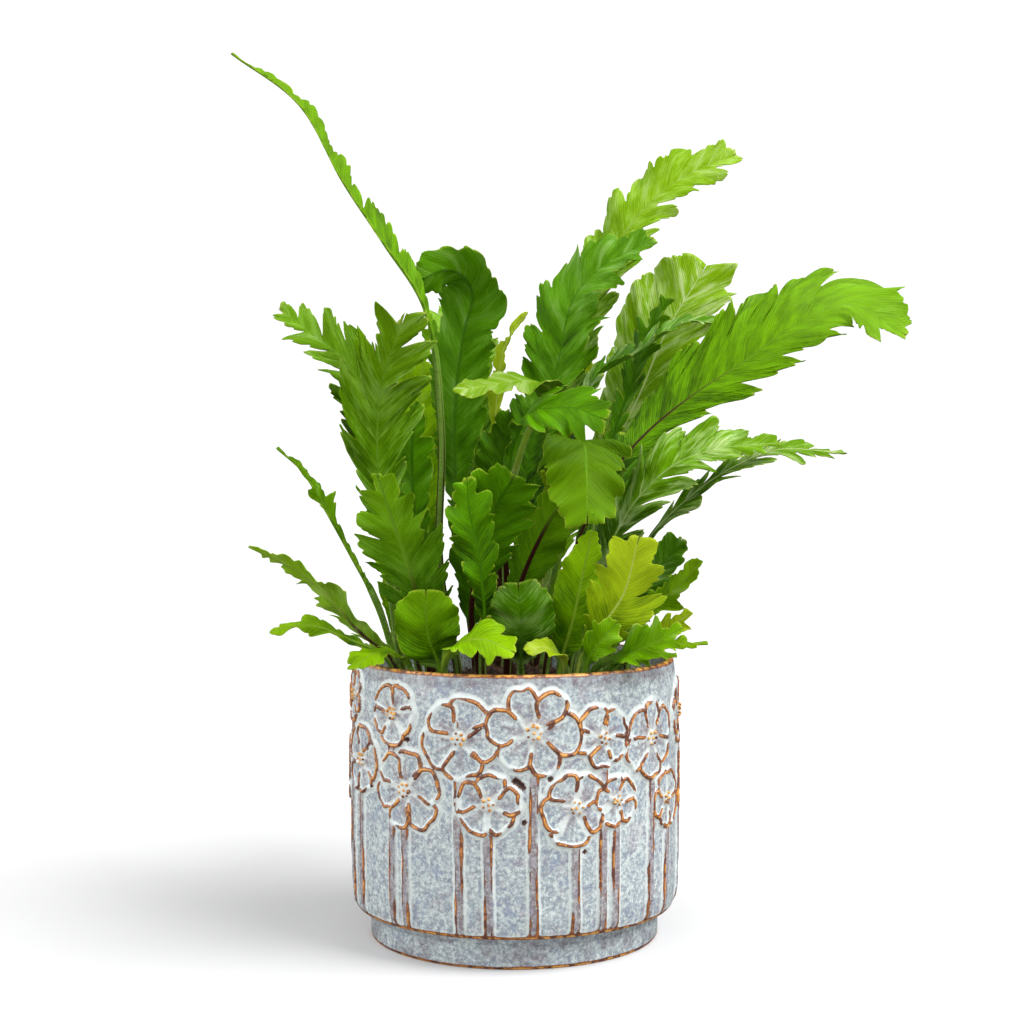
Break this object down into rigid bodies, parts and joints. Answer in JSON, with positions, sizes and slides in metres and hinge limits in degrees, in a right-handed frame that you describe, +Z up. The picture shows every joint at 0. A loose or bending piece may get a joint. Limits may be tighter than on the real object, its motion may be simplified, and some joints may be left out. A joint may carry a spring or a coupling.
{
  "type": "potted birds nest fern",
  "caption": "Bird's nest fern with lobed, waved fronds, planted in a glazed ceramic pot with raised flowers on its wall.",
  "frame": {"origin": "middle of the pot's flat base, on the surface that it stands on", "axes": "+Z up through the pot and plant, -Y towards the side that the picture shows, +X to its right"},
  "size_m": [0.3056, 0.2508, 0.399],
  "materials": {
    "glaze": "mottled blue-grey reactive glaze with brown-gold edges",
    "soil": "loose dark potting mix",
    "crown": "brown scaly rhizome",
    "leaf_deep": "glossy dark green leaf",
    "leaf_mid": "satin mid green leaf",
    "leaf_fresh": "satin fresh green leaf",
    "leaf_lime": "satin lime green young leaf"
  },
  "bodies": {
    "root": {"pot": "glaze", "potting_soil": "soil", "crown": "crown", "frond_tall_narrow": "leaf_mid", "frond_dark_hook": "leaf_deep", "frond_lime_ribbon": "leaf_lime", "frond_broad_centre": "leaf_deep", "frond_upper_right": "leaf_fresh", "frond_lime_fan": "leaf_fresh", "frond_broad_right": "leaf_mid", "frond_glossy_right": "leaf_mid", "frond_outer_ribbon": "leaf_mid", "frond_lime_lobed": "leaf_lime", "frond_bright_pointed": "leaf_fresh", "frond_low_right_tip": "leaf_fresh", "frond_dark_wavy_right": "leaf_deep", "frond_lying_right": "leaf_mid", "frond_low_right_yellow": "leaf_lime", "frond_low_right_thin": "leaf_fresh", "frond_crinkled_top": "leaf_mid", "frond_dark_arch": "leaf_deep", "frond_pale_edge": "leaf_fresh", "frond_dark_centre": "leaf_deep", "frond_front_centre": "leaf_deep", "frond_rusty_rib": "leaf_mid", "frond_small_left_centre": "leaf_deep", "frond_left_fan": "leaf_mid", "frond_left_upright": "leaf_mid", "frond_left_lobed": "leaf_mid", "frond_thin_left": "leaf_mid", "frond_low_left_light": "leaf_fresh", "frond_lowest_left": "leaf_fresh", "frond_round_front_left": "leaf_mid", "frond_lime_face": "leaf_fresh", "frond_rim_spill": "leaf_fresh", "frond_small_pale": "leaf_lime", "frond_dark_low_centre": "leaf_deep", "frond_low_right_light": "leaf_mid", "frond_rim_right": "leaf_mid", "frond_back_left_mid": "leaf_fresh", "frond_edge_right": "leaf_deep", "frond_dark_right_up": "leaf_deep", "frond_lime_back": "leaf_lime", "frond_dark_left_mid": "leaf_deep", "frond_back_left_low": "leaf_deep", "frond_back_long": "leaf_mid", "frond_back_middle": "leaf_fresh", "frond_back_right": "leaf_deep", "frond_back_low_right": "leaf_mid", "frond_back_low_middle": "leaf_fresh", "frond_back_low_left": "leaf_lime", "frond_back_rim_right": "leaf_fresh", "frond_back_tall": "leaf_mid", "frond_back_upright": "leaf_deep", "frond_back_broad_left": "leaf_mid", "frond_back_broad_middle": "leaf_deep", "frond_right_back": "leaf_mid", "frond_left_back": "leaf_fresh"}
  },
  "joints": []
}
